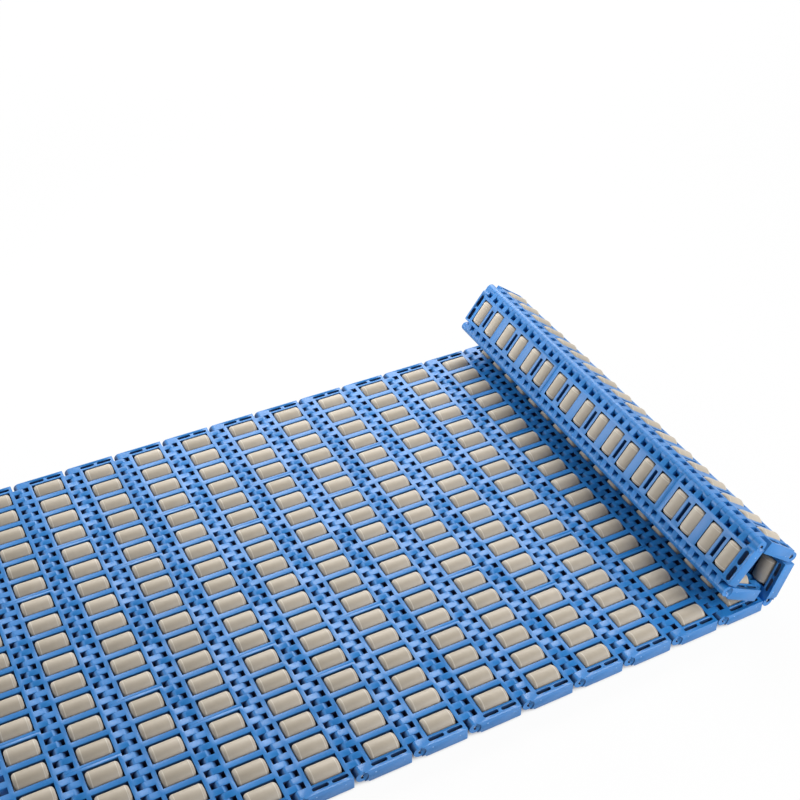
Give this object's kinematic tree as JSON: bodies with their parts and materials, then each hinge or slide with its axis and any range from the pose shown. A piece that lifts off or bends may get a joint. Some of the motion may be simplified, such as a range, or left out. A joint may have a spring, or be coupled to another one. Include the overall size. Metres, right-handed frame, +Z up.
{
  "type": "modular plastic belt",
  "caption": "Modular plastic conveyor belt: hinged rows of moulded modules that carry free-turning rollers set along the belt's travel, with its end rolled up.",
  "frame": {"origin": "under the middle of the belt's bounding box, on the floor that the rollers rest on", "axes": "+X along the belt, from its free flat end to the roll; +Y across the belt, along the hinge rods, away from the edge where the rods are kept in; +Z up"},
  "size_m": [0.6884, 0.4696, 0.0932],
  "materials": {
    "belt": "moulded blue plastic with a fine satin grain",
    "roller": "warm grey plastic, turned smooth",
    "rod": "smooth extruded plastic, off-white"
  },
  "bodies": {
    "row_01": {"row_01_modules": "belt", "row_01_rollers": "roller"},
    "row_02": {"row_02_modules": "belt", "row_02_rollers": "roller", "hinge_rod_01": "rod"},
    "row_03": {"row_03_modules": "belt", "row_03_rollers": "roller", "hinge_rod_02": "rod"},
    "row_04": {"row_04_modules": "belt", "row_04_rollers": "roller", "hinge_rod_03": "rod"},
    "row_05": {"row_05_modules": "belt", "row_05_rollers": "roller", "hinge_rod_04": "rod"},
    "row_06": {"row_06_modules": "belt", "row_06_rollers": "roller", "hinge_rod_05": "rod"},
    "row_07": {"row_07_modules": "belt", "row_07_rollers": "roller", "hinge_rod_06": "rod"},
    "row_08": {"row_08_modules": "belt", "row_08_rollers": "roller", "hinge_rod_07": "rod"},
    "row_09": {"row_09_modules": "belt", "row_09_rollers": "roller", "hinge_rod_08": "rod"},
    "row_10": {"row_10_modules": "belt", "row_10_rollers": "roller", "hinge_rod_09": "rod"},
    "row_11": {"row_11_modules": "belt", "row_11_rollers": "roller", "hinge_rod_10": "rod"},
    "row_12": {"row_12_modules": "belt", "row_12_rollers": "roller", "hinge_rod_11": "rod"},
    "row_13": {"row_13_modules": "belt", "row_13_rollers": "roller", "hinge_rod_12": "rod"},
    "row_14": {"row_14_modules": "belt", "row_14_rollers": "roller", "hinge_rod_13": "rod"},
    "row_15": {"row_15_modules": "belt", "row_15_rollers": "roller", "hinge_rod_14": "rod"},
    "row_16": {"row_16_modules": "belt", "row_16_rollers": "roller", "hinge_rod_15": "rod"},
    "row_17": {"row_17_modules": "belt", "row_17_rollers": "roller", "hinge_rod_16": "rod"},
    "row_07_roller_1": {"row_07_turning_roller_1": "roller"},
    "row_07_roller_2": {"row_07_turning_roller_2": "roller"},
    "row_07_roller_3": {"row_07_turning_roller_3": "roller"},
    "row_07_roller_4": {"row_07_turning_roller_4": "roller"},
    "row_07_roller_5": {"row_07_turning_roller_5": "roller"},
    "row_07_roller_6": {"row_07_turning_roller_6": "roller"},
    "row_08_roller_1": {"row_08_turning_roller_1": "roller"},
    "row_08_roller_2": {"row_08_turning_roller_2": "roller"},
    "row_08_roller_3": {"row_08_turning_roller_3": "roller"},
    "row_08_roller_4": {"row_08_turning_roller_4": "roller"}
  },
  "joints": [
    {"name": "hinge_01", "type": "hinge", "parent": "row_02", "child": "row_01", "pos_m": [-0.28834, 0, 0.00975], "axis": [0, 1, 0], "range_deg": [-80, 100]},
    {"name": "hinge_02", "type": "hinge", "parent": "row_03", "child": "row_02", "pos_m": [-0.23754, 0, 0.00975], "axis": [0, -1, 0], "range_deg": [-100, 80]},
    {"name": "hinge_03", "type": "hinge", "parent": "row_04", "child": "row_03", "pos_m": [-0.18674, 0, 0.00975], "axis": [0, 1, 0], "range_deg": [-80, 100]},
    {"name": "hinge_04", "type": "hinge", "parent": "row_05", "child": "row_04", "pos_m": [-0.13594, 0, 0.00975], "axis": [0, -1, 0], "range_deg": [-100, 80]},
    {"name": "hinge_05", "type": "hinge", "parent": "row_06", "child": "row_05", "pos_m": [-0.08514, 0, 0.00975], "axis": [0, 1, 0], "range_deg": [-80, 100]},
    {"name": "hinge_06", "type": "hinge", "parent": "row_07", "child": "row_06", "pos_m": [-0.03434, 0, 0.00975], "axis": [0, -1, 0], "range_deg": [-100, 80]},
    {"name": "hinge_07", "type": "hinge", "parent": "row_08", "child": "row_07", "pos_m": [0.01646, 0, 0.00975], "axis": [0, 1, 0], "range_deg": [-80, 100]},
    {"name": "hinge_08", "type": "hinge", "parent": "row_09", "child": "row_08", "pos_m": [0.06726, 0, 0.00975], "axis": [0, -1, 0], "range_deg": [-100, 80]},
    {"name": "hinge_09", "type": "hinge", "parent": "row_09", "child": "row_10", "pos_m": [0.11806, 0, 0.00975], "axis": [0, -1, 0], "range_deg": [-80, 100]},
    {"name": "hinge_10", "type": "hinge", "parent": "row_10", "child": "row_11", "pos_m": [0.16886, 0, 0.00975], "axis": [0, 1, 0], "range_deg": [-100, 80]},
    {"name": "hinge_11", "type": "hinge", "parent": "row_11", "child": "row_12", "pos_m": [0.21966, 0, 0.00975], "axis": [0, -1, 0], "range_deg": [-80, 100]},
    {"name": "hinge_12", "type": "hinge", "parent": "row_12", "child": "row_13", "pos_m": [0.27046, 0, 0.00975], "axis": [0, 1, 0], "range_deg": [-60, 80]},
    {"name": "hinge_13", "type": "hinge", "parent": "row_13", "child": "row_14", "pos_m": [0.32126, 0, 0.00975], "axis": [0, -1, 0], "range_deg": [-149, 0]},
    {"name": "hinge_14", "type": "hinge", "parent": "row_14", "child": "row_15", "pos_m": [0.33914, 0, 0.0573], "axis": [0, 1, 0], "range_deg": [0, 153]},
    {"name": "hinge_15", "type": "hinge", "parent": "row_15", "child": "row_16", "pos_m": [0.29873, 0, 0.08809], "axis": [0, -1, 0], "range_deg": [-1.5, 0]},
    {"name": "hinge_16", "type": "hinge", "parent": "row_16", "child": "row_17", "pos_m": [0.26815, 0, 0.04752], "axis": [0, 1, 0], "range_deg": [-2, 0]},
    {"name": "row_07_roller_1_turn", "type": "hinge", "parent": "row_07", "child": "row_07_roller_1", "pos_m": [-0.00884, -0.2159, 0.00935], "axis": [1, 0, 0], "continuous": true},
    {"name": "row_07_roller_2_turn", "type": "hinge", "parent": "row_07", "child": "row_07_roller_2", "pos_m": [-0.00884, -0.1905, 0.00935], "axis": [1, 0, 0], "continuous": true},
    {"name": "row_07_roller_3_turn", "type": "hinge", "parent": "row_07", "child": "row_07_roller_3", "pos_m": [-0.00884, -0.1651, 0.00935], "axis": [1, 0, 0], "continuous": true},
    {"name": "row_07_roller_4_turn", "type": "hinge", "parent": "row_07", "child": "row_07_roller_4", "pos_m": [-0.00884, -0.1397, 0.00935], "axis": [1, 0, 0], "continuous": true},
    {"name": "row_07_roller_5_turn", "type": "hinge", "parent": "row_07", "child": "row_07_roller_5", "pos_m": [-0.00884, -0.1143, 0.00935], "axis": [1, 0, 0], "continuous": true},
    {"name": "row_07_roller_6_turn", "type": "hinge", "parent": "row_07", "child": "row_07_roller_6", "pos_m": [-0.00884, -0.0889, 0.00935], "axis": [1, 0, 0], "continuous": true},
    {"name": "row_08_roller_1_turn", "type": "hinge", "parent": "row_08", "child": "row_08_roller_1", "pos_m": [0.04196, -0.2159, 0.00935], "axis": [1, 0, 0], "continuous": true},
    {"name": "row_08_roller_2_turn", "type": "hinge", "parent": "row_08", "child": "row_08_roller_2", "pos_m": [0.04196, -0.1905, 0.00935], "axis": [1, 0, 0], "continuous": true},
    {"name": "row_08_roller_3_turn", "type": "hinge", "parent": "row_08", "child": "row_08_roller_3", "pos_m": [0.04196, -0.1651, 0.00935], "axis": [1, 0, 0], "continuous": true},
    {"name": "row_08_roller_4_turn", "type": "hinge", "parent": "row_08", "child": "row_08_roller_4", "pos_m": [0.04196, -0.1397, 0.00935], "axis": [1, 0, 0], "continuous": true}
  ]
}
